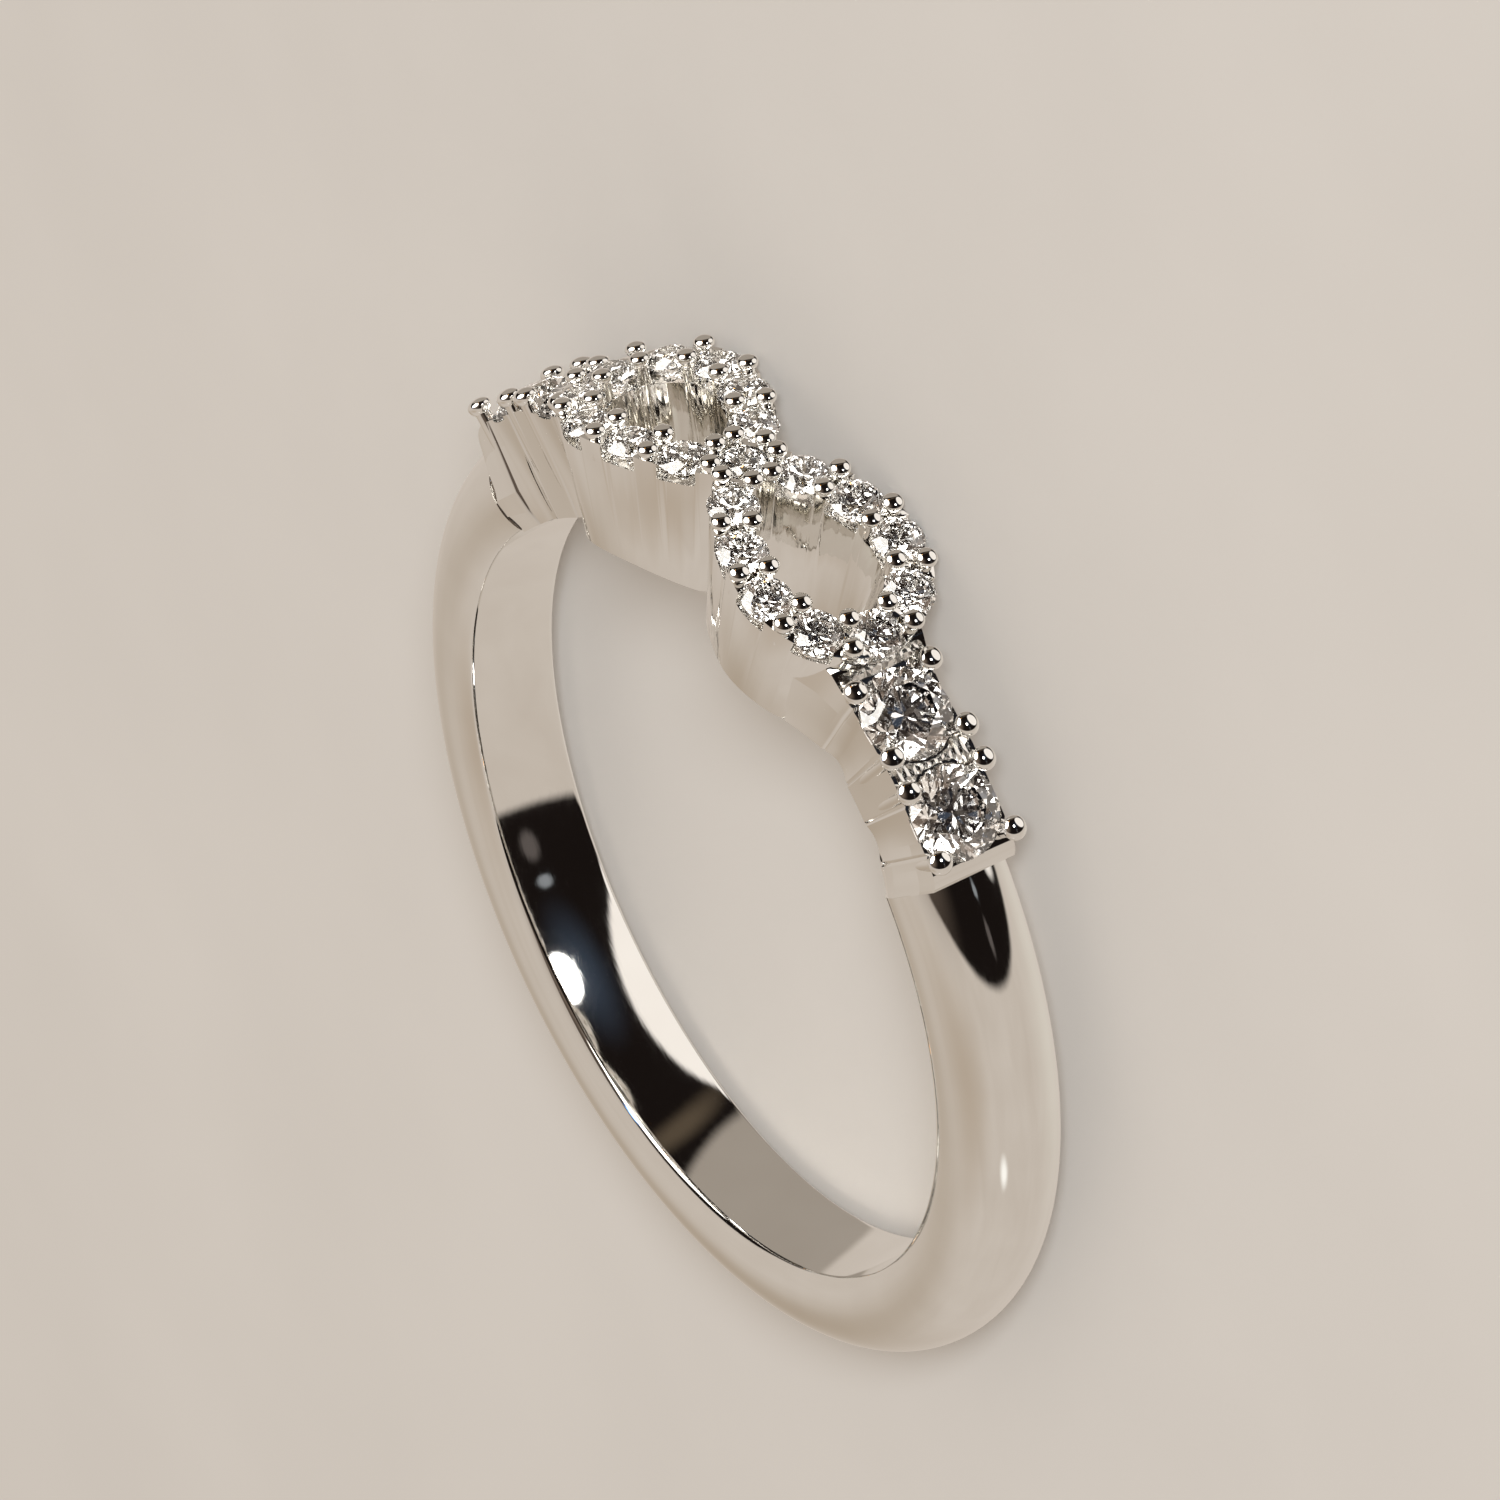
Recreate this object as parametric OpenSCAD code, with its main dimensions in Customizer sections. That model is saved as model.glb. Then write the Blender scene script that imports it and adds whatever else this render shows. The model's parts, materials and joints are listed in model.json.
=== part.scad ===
// Infinity ring: a polished white metal band whose head is a pierced figure
// of eight, bead set with small brilliants, between two larger brilliants on
// each shoulder. Sizes are in millimetres. The ring lies on its side: the
// finger goes along Z, the head is toward +Y and the origin is the middle of
// the finger bore. Angles are taken about the finger, from the head.

/* [Band] */
// Inner diameter of the ring, which is its finger size
bore_d = 17; // [15:0.1:21]
// Thickness of the band at its crest
band_t = 2.1; // [1.9:0.05:2.3]
// Width of the band at its widest
band_w = 2.54; // [2.4:0.02:2.8]

/* [Figure of eight] */
// Girdle diameter of a small stone
small_d = 1.1; // [1:0.02:1.2]
// Gap between two small stones along the strand
small_gap = 0.14; // [0.1:0.01:0.2]
// Height of the small girdles above the finger
small_h = 3.15; // [3:0.05:3.4]
// Width of the strand that carries the small stones
strand_w = 0.96; // [0.9:0.02:1.04]
// Height of the strand's top above the small girdles
strand_rise = 0.08; // [0.04:0.01:0.12]
// Depth of the saddles cut under the small stones, below their girdles
saddle_depth = 0.35; // [0.25:0.01:0.42]
// Width of the posts that the saddles leave, along the strand
post_w = 0.4; // [0.34:0.01:0.46]
// Diameter of the beads on the posts
bead_d = 0.43; // [0.38:0.01:0.48]
// Distance of the beads from the middle of the strand
bead_offset = 0.32; // [0.28:0.005:0.34]
// Height of the beads' centres above the small girdles
bead_rise = 0.18; // [0.16:0.01:0.22]
// Diameter of the hole drilled under a small stone
small_drill_d = 0.4; // [0.3:0.02:0.5]
// How far the underside has risen off the finger at the eight's widest
flare_rise = 0.5; // [0.3:0.05:0.7]

/* [Shoulders] */
// Girdle diameter of a shoulder stone
large_d = 2; // [1.8:0.05:2.1]
// Gap between the two stones of a shoulder
large_gap = 0.22; // [0.16:0.01:0.3]
// Gap between the stone at the eight's tip and the next shoulder stone
tip_gap = 0.19; // [0.15:0.01:0.25]
// Height of the shoulder girdles above the finger
large_h = 2.4; // [2.25:0.05:2.5]
// Shelf of metal beyond the last stone
shelf = 0.33; // [0.25:0.01:0.45]
// Diameter of the prong tips
prong_d = 0.44; // [0.38:0.01:0.5]
// Turn of a prong about its stone, from the line of the band
prong_turn = 50; // [46:1:54]
// How far a prong tip laps over the girdle
prong_lap = 0.035; // [0.02:0.005:0.06]
// Height of the prong tips' centres above the shoulder girdles
prong_rise = 0.3; // [0.26:0.01:0.34]
// Diameter of the hole drilled under a shoulder stone
large_drill_d = 0.9; // [0.7:0.05:1]

/* [Cut of the stones] */
// Table, as a share of the girdle diameter
table_share = 0.56; // [0.52:0.01:0.6]
// Height of the crown, as a share of the girdle diameter
crown_share = 0.16; // [0.13:0.01:0.18]
// Thickness of the girdle, as a share of its diameter
girdle_share = 0.03; // [0.02:0.005:0.04]
// Depth of the pavilion, as a share of the girdle diameter
pavilion_share = 0.43; // [0.4:0.01:0.45]
// Clearance between a stone and its seat
seat_gap = 0.02; // [0.01:0.005:0.04]

/* [Hidden] */
$fn = 64;
weld = 0.15;                                // overlap of two soldered forms
past = 1;                                   // how far a cutter runs past a face
degrees = 180 / PI;

bore_r = bore_d / 2;
small_r = bore_r + small_h;                 // radius of the small girdles about the finger
large_r = bore_r + large_h;                 // radius of the shoulder girdles
section_r = bore_r + band_t - band_w / 2;   // radius of the middle of the band's round section
flat_half = sqrt(pow(band_w / 2, 2) - pow(band_w / 2 - band_t, 2)); // half the flat on the finger
pitch = small_d + small_gap;                // one step from stone to stone along the strand

// Heading of the strand on each step from the crossing, in degrees off the
// line of the band. The last step closes the loop on the middle line.
HEADINGS = [44, 25.4, 10, -23];
STEPS = len(HEADINGS) + 1;
closing = -asin([for (h = HEADINGS) sin(h)] * [for (h = HEADINGS) 1]);
function heading(i) = i < STEPS - 1 ? HEADINGS[i] : closing;

// Stone i along one half of a loop, as [arc, z] at the small girdles: 0 is
// the crossing, STEPS the tip. Before and after them the strand goes on
// through the crossing and round the tip.
function stop(i) =
    i < 0 ? -stop(-i) :
    i > STEPS ? [stop(2 * STEPS - i)[0], -stop(2 * STEPS - i)[1]] :
    i == 0 ? [0, 0] :
    stop(i - 1) + pitch * [cos(heading(i - 1)), sin(heading(i - 1))];

// A smooth line through the stones, its direction and the normal on its
// outer side, at i + t steps along
function line_at(i, t) = (
    2 * stop(i)
    + (stop(i + 1) - stop(i - 1)) * t
    + (2 * stop(i - 1) - 5 * stop(i) + 4 * stop(i + 1) - stop(i + 2)) * t * t
    + (3 * stop(i) - stop(i - 1) - 3 * stop(i + 1) + stop(i + 2)) * t * t * t) / 2;
function slope_at(i, t) = (
    (stop(i + 1) - stop(i - 1))
    + 2 * (2 * stop(i - 1) - 5 * stop(i) + 4 * stop(i + 1) - stop(i + 2)) * t
    + 3 * (3 * stop(i) - stop(i - 1) - 3 * stop(i + 1) + stop(i + 2)) * t * t) / 2;
function turn_at(i, t) = atan2(slope_at(i, t)[1], slope_at(i, t)[0]);
function beside(i, t, off) = line_at(i, t) + off * [-sin(turn_at(i, t)), cos(turn_at(i, t))];

// One side of the strand, from the crossing to the tip, and its whole loop
SAMPLES = 4;                                // points on the outline for each step
function edge(off) = [
    for (k = [0 : STEPS * SAMPLES])
        let (i = min(floor(k / SAMPLES), STEPS - 1))
        beside(i, k / SAMPLES - i, off)];
function reversed(list) = [for (i = [len(list) - 1 : -1 : 0]) list[i]];
function looped(half) = concat(half, [
    for (p = reversed(half)) if (p[1] > 0.001) [p[0], -p[1]]]);
OUTER = looped(edge(strand_w / 2));
INNER = looped([for (p = edge(-strand_w / 2)) if (p[1] > 0 || p[0] > stop(STEPS - 1)[0] - strand_w) p]);

// The small stones in order: the crossing first, then both loops
MIDWAY = [for (side = [1, -1], i = [1 : 2 * STEPS - 1]) [side, i]];
SMALL = concat([[0, 0, 0]], [
    for (m = MIDWAY) [m[0] * stop(m[1])[0], stop(m[1])[1], m[0] * turn_at(m[1], 0)]]);

// Angles about the finger of the eight's tip, the shoulder stones and the
// end of the shoulder. Two girdles r1 and r2 from the axis are gap apart.
function between(r1, r2, gap) = acos((r1 * r1 + r2 * r2 - gap * gap) / (2 * r1 * r2));
tip_angle = stop(STEPS)[0] / small_r * degrees;
first_angle = tip_angle + between(small_r, large_r, small_d / 2 + tip_gap + large_d / 2);
last_angle = first_angle + between(large_r, large_r, large_d + large_gap);
end_angle = last_angle + (large_d / 2 + shelf) / large_r * degrees;
LARGE = [for (side = [1, -1], a = [first_angle, last_angle]) side * a];

prong_reach = large_d / 2 + prong_d / 2 - prong_lap; // from a stone's middle to its prongs
prong_angle = prong_reach * cos(prong_turn) / large_r * degrees;
weld_angle = weld / section_r * degrees;

// The shoulder from the eight's tip to its end: the angle, then half its
// width at the finger as a share of the band's flat, at the waist as a share
// of half the band and at the top as a share of a stone's radius, and the
// rise of its top over the girdles as a share of the stone's diameter.
SHOULDER = [
    // angle                      flat  waist  top   rise
    [tip_angle,                   0.80, 0.66, 0.90, -0.05],
    [first_angle - prong_angle,   0.78, 0.73, 1.13,  0.04],
    [first_angle,                 0.75, 0.66, 0.98,  0.00],
    [first_angle + prong_angle,   0.81, 0.73, 1.13,  0.04],
    [(first_angle + last_angle) / 2, 0.83, 0.72, 1.06, 0.05],
    [last_angle - prong_angle,    0.85, 0.75, 1.13,  0.04],
    [last_angle,                  0.89, 0.76, 0.98,  0.00],
    [last_angle + prong_angle,    0.96, 0.86, 1.13,  0.04],
    [end_angle - 2 * weld_angle,  1.10, 1.055, 1.04, -0.03],
    [end_angle,                   1.10, 1.055, 1.02, -0.05]];

// The ring tips until its widest stones and the back of the band both touch
// what it lies on: the tilt at which a point y, z of the head comes level
// with the band's underside
function tilt_for(y, z) =
    let (reach = y + section_r)
    acos(band_w / 2 / norm([reach, z])) - atan2(reach, z);
rest_tilt = max([for (s = SMALL)
    tilt_for(small_r * cos(s[0] / small_r * degrees), abs(s[1]) + small_d / 2)]);

// Puts a piece at an angle about the finger, with its own Z pointing away
// from the axis and its own X along the band
module place(angle, z, r) {
    rotate([0, 0, -angle]) translate([0, r, z]) rotate([-90, 0, 0]) children();
}

// Puts a piece on the strand at [arc, z], turned to the strand's heading
module on_strand(at, turn, r) {
    place(at[0] / small_r * degrees, at[1], r) rotate([0, 0, -turn]) children();
}

// A solid through rings of as many points, listed from one end to the other
module loft(rings) {
    n = len(rings[0]);
    last = len(rings) - 1;
    polyhedron(
        points = [for (ring = rings, p = ring) p],
        faces = concat(
            [[for (k = [n - 1 : -1 : 0]) k]],
            [for (j = [0 : last - 1], k = [0 : n - 1])
                [j * n + k, j * n + (k + 1) % n, (j + 1) * n + (k + 1) % n, (j + 1) * n + k]],
            [[for (k = [0 : n - 1]) last * n + k]]));
}

// A round brilliant of diameter d: table, stars, bezels and upper girdle
// facets above, lower girdle facets and mains below, girdle at Z = 0
module brilliant(d) {
    r = d / 2;
    g = girdle_share * r;
    star = 0.76;                            // reach of the star facets, of the girdle radius
    main = 0.23;                            // where the lower girdle facets end
    crown_z = g + crown_share * d;
    culet_z = -g - pavilion_share * d;
    star_z = g + (1 - star * cos(22.5)) / (1 - table_share) * (crown_z - g);
    main_z = -g + (1 - main * cos(22.5)) * (culet_z + g);
    function around(n, radius, z, turn) = [
        for (k = [0 : n - 1]) [radius * cos(360 / n * k + turn), radius * sin(360 / n * k + turn), z]];
    // Indices: 8 table, 8 star, 16 upper girdle, 16 lower girdle, 8 main, culet
    polyhedron(
        points = concat(
            around(8, table_share * r, crown_z, 0),
            around(8, star * r, star_z, 22.5),
            around(16, r, g, 0),
            around(16, r, -g, 0),
            around(8, main * r, main_z, 22.5),
            [[0, 0, culet_z]]),
        faces = concat(
            [[for (k = [7 : -1 : 0]) k]],
            [for (k = [0 : 7]) each [
                [k, (k + 1) % 8, 8 + k],
                [k, 8 + k, 16 + 2 * k, 8 + (k + 7) % 8],
                [8 + k, 17 + 2 * k, 16 + 2 * k],
                [8 + k, 16 + (2 * k + 2) % 16, 17 + 2 * k],
                [32 + 2 * k, 33 + 2 * k, 48 + k],
                [33 + 2 * k, 32 + (2 * k + 2) % 16, 48 + k],
                [32 + 2 * k, 48 + k, 56, 48 + (k + 7) % 8]]],
            [for (k = [0 : 15]) [16 + k, 16 + (k + 1) % 16, 32 + (k + 1) % 16, 32 + k]]));
}

// What is cut for a brilliant of diameter d: its round form and the
// clearance, and the hole drilled from under it to the finger
module seat(d, drill_d, depth) {
    r = d / 2 + seat_gap;
    g = girdle_share * d / 2 + seat_gap;
    crown_z = g + crown_share * d;
    lean = pavilion_share * d / (d / 2);    // how steeply the pavilion goes down
    rotate_extrude() polygon([
        [0, -depth - past],
        [drill_d / 2, -depth - past],
        [drill_d / 2, -g - lean * (r - drill_d / 2)],
        [r, -g],
        [r, g],
        [r - (1 - table_share) * d / 2, crown_z],
        [0, crown_z]]);
}

// Bores a piece for the finger
module bored() {
    difference() {
        children();
        cylinder(h = 4 * band_w, r = bore_r, center = true);
    }
}

// The band, from the end of one shoulder round to the other
module band() {
    start = end_angle - weld_angle;
    bored() rotate([0, 0, 90 + start]) rotate_extrude(angle = 360 - 2 * start)
        translate([section_r, 0]) circle(d = band_w);
}

// One shoulder: the metal under and around two stones, waisted beside each
module shoulder() {
    bored() loft([for (s = SHOULDER)
        let (
            low = bore_r - weld,
            top = large_r + s[4] * large_d,
            profile = [
                [low, s[1] * flat_half],
                [section_r, s[2] * band_w / 2],
                [top, s[3] * large_d / 2]])
        [for (p = concat(profile, [for (q = reversed(profile)) [q[0], -q[1]]]))
            [p[0] * sin(s[0]), p[0] * cos(s[0]), p[1]]]]);
}

// A prong beside a shoulder stone: a post that widens into a round tip
module prong() {
    root = prong_rise;                      // how deep the post stands in the metal
    translate([0, 0, -root])
        cylinder(h = root + prong_rise, d1 = prong_d * 0.75, d2 = prong_d * 0.9);
    translate([0, 0, prong_rise]) sphere(d = prong_d);
}

// One loop of the eight, with walls that all point at the axis of the finger
module loop_wall() {
    low = bore_r * cos(end_angle);
    high = small_r + past;
    function plan(list) = [for (p = list) [low * tan(p[0] / small_r * degrees), p[1]]];
    translate([0, low, 0]) rotate([-90, 0, 0])
        linear_extrude(height = high - low, scale = [high / low, 1], slices = 1, $fn = 0) difference() {
            polygon(plan(OUTER));
            polygon(plan(INNER));
        }
}

// A cross that leaves four posts around a stone: a saddle across the strand
// and a valley along it
module saddle() {
    long = pitch / 2;
    wide = strand_w;
    half = (pitch - post_w) / 2;
    valley = bead_offset - bead_d / 2;
    quarter = [[half, wide], [half, valley], [long, valley]];
    translate([0, 0, -saddle_depth]) linear_extrude(height = saddle_depth + past) polygon(concat(
        quarter,
        [for (p = reversed(quarter)) [p[0], -p[1]]],
        [for (p = quarter) [-p[0], -p[1]]],
        [for (p = reversed(quarter)) [-p[0], p[1]]]));
}

// The underside of the eight leaves the finger past the band's flat
module flare() {
    widest = max([for (p = OUTER) p[1]]);
    lean = flare_rise / (widest - flat_half);
    for (side = [0, 1]) mirror([0, 0, side]) translate([0, 0, flat_half - past / 2])
        cylinder(h = widest - flat_half + past, r1 = bore_r - lean * past / 2,
            r2 = bore_r + lean * (widest - flat_half + past / 2));
}

// The pierced figure of eight before its beads
module eight() {
    bored() difference() {
        intersection() {
            union() {
                loop_wall();
                mirror([1, 0, 0]) loop_wall();
            }
            cylinder(h = 4 * band_w, r = small_r + strand_rise, center = true);
        }
        flare();
        for (i = [1 : len(SMALL) - 1]) on_strand(SMALL[i], SMALL[i][2], small_r) saddle();
    }
}

// The beads: an outer and an inner one midway between neighbouring stones
module beads() {
    for (side = [1, -1], up = [1, -1], i = [0 : STEPS - 1], off = [bead_offset, -bead_offset])
        let (at = beside(i, 0.5, off))
        on_strand([side * at[0], up * at[1]], 0, small_r + bead_rise) sphere(d = bead_d);
}

// All the metal, cast and soldered into one piece
module ring() {
    color("silver") rotate([rest_tilt, 0, 0]) difference() {
        difference() {
            union() {
                band();
                for (side = [0, 1]) mirror([side, 0, 0]) shoulder();
                eight();
                beads();
                for (angle = LARGE, along = [1, -1], across = [1, -1]) place(angle, 0, large_r)
                    translate(prong_reach * [along * cos(prong_turn), across * sin(prong_turn), 0]) prong();
            }
            for (s = SMALL) on_strand(s, 0, small_r) seat(small_d, small_drill_d, small_h);
        }
        for (angle = LARGE) place(angle, 0, large_r) seat(large_d, large_drill_d, large_h);
    }
}

// A small stone of the eight, each turned a little more than the one before
module small_stone(i) {
    color("aliceblue") rotate([rest_tilt, 0, 0])
        on_strand(SMALL[i - 1], 17 * i, small_r) brilliant(small_d);
}

// A stone of the shoulders
module shoulder_stone(i) {
    color("aliceblue") rotate([rest_tilt, 0, 0])
        place(LARGE[i - 1], 0, large_r) rotate([0, 0, 17 * i]) brilliant(large_d);
}

ring();
for (i = [1 : len(SMALL)]) small_stone(i);
for (i = [1 : len(LARGE)]) shoulder_stone(i);
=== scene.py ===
# %% [markdown]
# # An infinity ring in white gold and diamonds
# A finger ring lies on its side on a pale table. Its band is mirror polished,
# and its head is a figure of eight, bead set with nineteen small brilliants
# between two pairs of larger ones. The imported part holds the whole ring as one
# metal solid and one solid for each stone. This lesson keeps the stones as
# they are and rebuilds the metal the way a jeweller makes it: a drawn band,
# two sawn shoulders, a pierced strand, and then the prongs and beads.

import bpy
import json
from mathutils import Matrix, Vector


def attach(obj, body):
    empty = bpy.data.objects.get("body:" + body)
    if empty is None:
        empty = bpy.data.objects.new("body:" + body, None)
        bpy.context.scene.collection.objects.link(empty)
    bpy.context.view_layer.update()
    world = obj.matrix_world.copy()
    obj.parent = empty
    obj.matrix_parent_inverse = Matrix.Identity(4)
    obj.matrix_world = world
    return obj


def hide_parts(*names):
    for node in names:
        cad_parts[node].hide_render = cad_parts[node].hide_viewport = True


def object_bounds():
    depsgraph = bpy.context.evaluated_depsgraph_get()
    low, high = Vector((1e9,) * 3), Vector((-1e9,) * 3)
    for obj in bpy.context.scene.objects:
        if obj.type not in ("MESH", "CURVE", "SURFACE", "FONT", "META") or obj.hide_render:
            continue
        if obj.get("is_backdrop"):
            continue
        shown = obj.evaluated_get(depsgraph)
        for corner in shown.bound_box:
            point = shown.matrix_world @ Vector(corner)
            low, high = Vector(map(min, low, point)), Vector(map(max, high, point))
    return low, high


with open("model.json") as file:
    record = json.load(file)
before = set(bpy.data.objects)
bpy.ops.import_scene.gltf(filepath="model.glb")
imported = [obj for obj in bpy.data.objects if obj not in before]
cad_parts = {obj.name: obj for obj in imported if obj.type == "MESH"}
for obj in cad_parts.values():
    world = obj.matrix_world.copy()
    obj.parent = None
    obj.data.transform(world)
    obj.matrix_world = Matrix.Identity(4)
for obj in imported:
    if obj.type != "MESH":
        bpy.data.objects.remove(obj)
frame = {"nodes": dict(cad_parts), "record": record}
cad_low, cad_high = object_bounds()
print("packed nodes:", len(frame["nodes"]), "box:", cad_low[:], cad_high[:])

# %% [markdown]
# ## The ring's own frame
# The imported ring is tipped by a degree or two, because it rests on its band
# and on the stones of its head. It is easier to model it straight, with the
# finger along Z and the head toward +Y, in millimetres, and to tip each
# finished piece. The tilt is read from the culet of the stone at the crossing,
# which lies on the ring's middle line.

# %% The tilt, and turning a finished piece to its place
import json
import math
from collections import namedtuple

import bmesh
import bpy
from mathutils import Matrix, Vector

MM = 0.001
SHARP = math.radians(32)
nodes = frame["nodes"]


def points_of(node):
    """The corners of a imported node, in millimetres"""
    return [v.co / MM for v in nodes[node].data.vertices]


crossing_culet = min(points_of("small_stone_1"), key=lambda p: p.length)
tilt = math.atan2(crossing_culet.z, crossing_culet.y)
LAID = Matrix.Rotation(tilt, 4, "X")
print("the ring tips by", round(math.degrees(tilt), 3), "degrees")

# %% [markdown]
# ## Where the stones sit
# Every prong, bead and seat is set out from its stone, as at the bench. A
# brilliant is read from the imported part: its culet lies on its own axis,
# which points at the finger, and the corners furthest from that axis are its
# girdle. That gives each stone's angle about the finger, its place along it,
# the radius of its girdle's level and its diameter.

# %% Read the stones
Stone = namedtuple("Stone", "angle z r d")


def read_stone(node):
    corners = [LAID.inverted() @ p for p in points_of(node)]
    culet = min(corners, key=lambda p: p.xy.length)
    axis = Vector((culet.x, culet.y, 0)).normalized()
    middle = Vector((0, 0, culet.z))
    heights = [(p - middle).dot(axis) for p in corners]
    reach = [(p - middle - h * axis).length for p, h in zip(corners, heights)]
    girdle = [h for h, off in zip(heights, reach) if off > 0.99 * max(reach)]
    return Stone(math.atan2(culet.x, culet.y), culet.z, sum(girdle) / len(girdle), 2 * max(reach))


small = [read_stone(f"small_stone_{i}") for i in range(1, 20)]
large = [read_stone(f"shoulder_stone_{i}") for i in range(1, 5)]
small_r, small_d = small[0].r, small[0].d
large_r, large_d = large[0].r, large[0].d
print("small stones", round(small_d, 3), "mm at", round(small_r, 3), "mm from the finger's axis")
print("large stones", round(large_d, 3), "mm at", round(large_r, 3), "mm, angles",
      [round(math.degrees(s.angle), 2) for s in large])

# %% [markdown]
# ## The driving sizes of the metal
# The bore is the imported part's own mount. The other sizes were measured in
# the photograph against the bore. Angles run from the middle of the head.

# %% Sizes in millimetres
bore_r = frame["record"]["mounts"][0]["dims"]["r_mm"]
band_t = 2.1
band_w = 2.54
section_r = bore_r + band_t - band_w / 2
flat_half = math.sqrt((band_w / 2) ** 2 - (band_w / 2 - band_t) ** 2)
first, last = large[0].angle, large[1].angle
shelf = 0.33
end_angle = last + (large_d / 2 + shelf) / large_r
print("band runs from", round(math.degrees(end_angle), 2), "degrees on each side")

# %% [markdown]
# ## Small helpers
# A few helpers serve every piece. `keep` turns a finished bmesh into a piece:
# it merges doubles, turns the faces outward, marks the creases that stay
# crisp and tips the mesh to its place. A piece with a bevel also has its
# normals weighted by area, so that the flat walls stay flat in the mirror.
# `at_stone` is the place of a setting: its Z points away from the finger.
# `carved` cuts one mesh with another, as a bur cuts a seat.

# %% Helpers for meshes
def creased(bm, sharp):
    """Smooth faces, with the edges that turn by more than an angle kept crisp"""
    for face in bm.faces:
        face.smooth = True
    for edge in bm.edges:
        edge.smooth = edge.is_manifold and edge.calc_face_angle(0) < sharp


def mesh_of(bm, name):
    bmesh.ops.remove_doubles(bm, verts=bm.verts, dist=1e-5)
    bmesh.ops.recalc_face_normals(bm, faces=bm.faces)
    mesh = bpy.data.meshes.new(name)
    bm.to_mesh(mesh)
    bm.free()
    item = bpy.data.objects.new(name, mesh)
    bpy.context.scene.collection.objects.link(item)
    return item


def keep(item, material, bevel=0.0, sharp=SHARP):
    """A piece of the ring: its creases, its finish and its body"""
    bm = bmesh.new()
    bm.from_mesh(item.data)
    bmesh.ops.dissolve_degenerate(bm, edges=bm.edges, dist=1e-4)
    creased(bm, sharp)
    if bevel:
        edges = [e for e in bm.edges if e.is_manifold and e.calc_face_angle(0) > SHARP]
        bmesh.ops.bevel(bm, geom=edges, offset=bevel, segments=2, profile=0.5, affect="EDGES",
                        material=-1, clamp_overlap=True)
        creased(bm, sharp)
    bmesh.ops.transform(bm, matrix=Matrix.Scale(MM, 4) @ LAID, verts=bm.verts)
    bm.to_mesh(item.data)
    faces = len(bm.faces)
    bm.free()
    item.data.materials.clear()
    item.data.materials.append(material)
    if bevel:
        even = item.modifiers.new("even_shading", "WEIGHTED_NORMAL")
        even.keep_sharp = True
        even.weight = 100
    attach(item, "root")
    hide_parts("ring")
    print(item.name, "has", faces, "faces")
    return item


def polar(angle, r, z):
    return Vector((r * math.sin(angle), r * math.cos(angle), z))


def at_stone(angle, z, r, turn=0.0):
    """Own X along the band, own Z away from the finger, turned in its own plane"""
    return (Matrix.Rotation(-angle, 4, "Z") @ Matrix.Translation((0, r, z))
            @ Matrix.Rotation(-math.pi / 2, 4, "X") @ Matrix.Rotation(-turn, 4, "Z"))


def carved(item, cutter, operation="DIFFERENCE"):
    """Cuts, or joins, item with cutter, which is used up"""
    modifier = item.modifiers.new("carve", "BOOLEAN")
    modifier.operation = operation
    modifier.object = cutter
    modifier.solver = "EXACT"
    modifier.use_self = True
    bpy.context.view_layer.update()
    result = bpy.data.meshes.new_from_object(item.evaluated_get(bpy.context.evaluated_depsgraph_get()))
    item.modifiers.clear()
    item.data = result
    bpy.data.objects.remove(cutter)
    return item


def turned(outline, segments=32):
    """A lathe-turned form about Z, from the [radius, height] points of its outline"""
    bm = bmesh.new()
    verts = [bm.verts.new((radius, 0, height)) for radius, height in outline]
    edges = [bm.edges.new(pair) for pair in zip(verts, verts[1:])]
    bmesh.ops.spin(bm, geom=verts + edges, cent=(0, 0, 0), axis=(0, 0, 1), angle=2 * math.pi,
                   steps=segments, use_merge=True)
    bmesh.ops.remove_doubles(bm, verts=bm.verts, dist=1e-5)
    return bm


def gathered(name, parts):
    """One mesh from a list of (bmesh, place) pairs"""
    whole = bmesh.new()
    for part, place in parts:
        bmesh.ops.transform(part, matrix=place, verts=part.verts)
        scrap = bpy.data.meshes.new("scrap")
        part.to_mesh(scrap)
        part.free()
        whole.from_mesh(scrap)
        bpy.data.meshes.remove(scrap)
    return mesh_of(whole, name)


print("creases stay crisp from", round(math.degrees(SHARP)), "degrees")

# %% [markdown]
# ## Colours and nodes
# Colours are written as they look on a screen, in sRGB hex, and one function
# turns them to the linear values that shaders add up. Another adds a node
# with its settings and its links.

# %% Helpers for materials
def linear(hex_colour):
    values = [int(hex_colour[i:i + 2], 16) / 255 for i in (1, 3, 5)]
    return [v / 12.92 if v <= 0.04045 else ((v + 0.055) / 1.055) ** 2.4 for v in values] + [1.0]


def add(tree, kind, settings=(), **inputs):
    """Adds a node; an input is a value, or another node's output socket"""
    node = tree.nodes.new(kind)
    for key, value in dict(settings).items():
        setattr(node, key, value)
    for key, value in inputs.items():
        socket = node.inputs[int(key[1:]) if key[0] == "_" else key.replace("_", " ")]
        if isinstance(value, bpy.types.NodeSocket):
            tree.links.new(value, socket)
        else:
            socket.default_value = value
    return node


def new_material(name):
    material = bpy.data.materials.new(name)
    material.use_nodes = True
    material.node_tree.nodes.clear()
    return material, material.node_tree


def finish_material(tree, shader):
    output = add(tree, "ShaderNodeOutputMaterial")
    tree.links.new(shader.outputs[0], output.inputs["Surface"])


print("a mid grey of #808080 is", round(linear("#808080")[0], 3), "in linear light")

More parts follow.
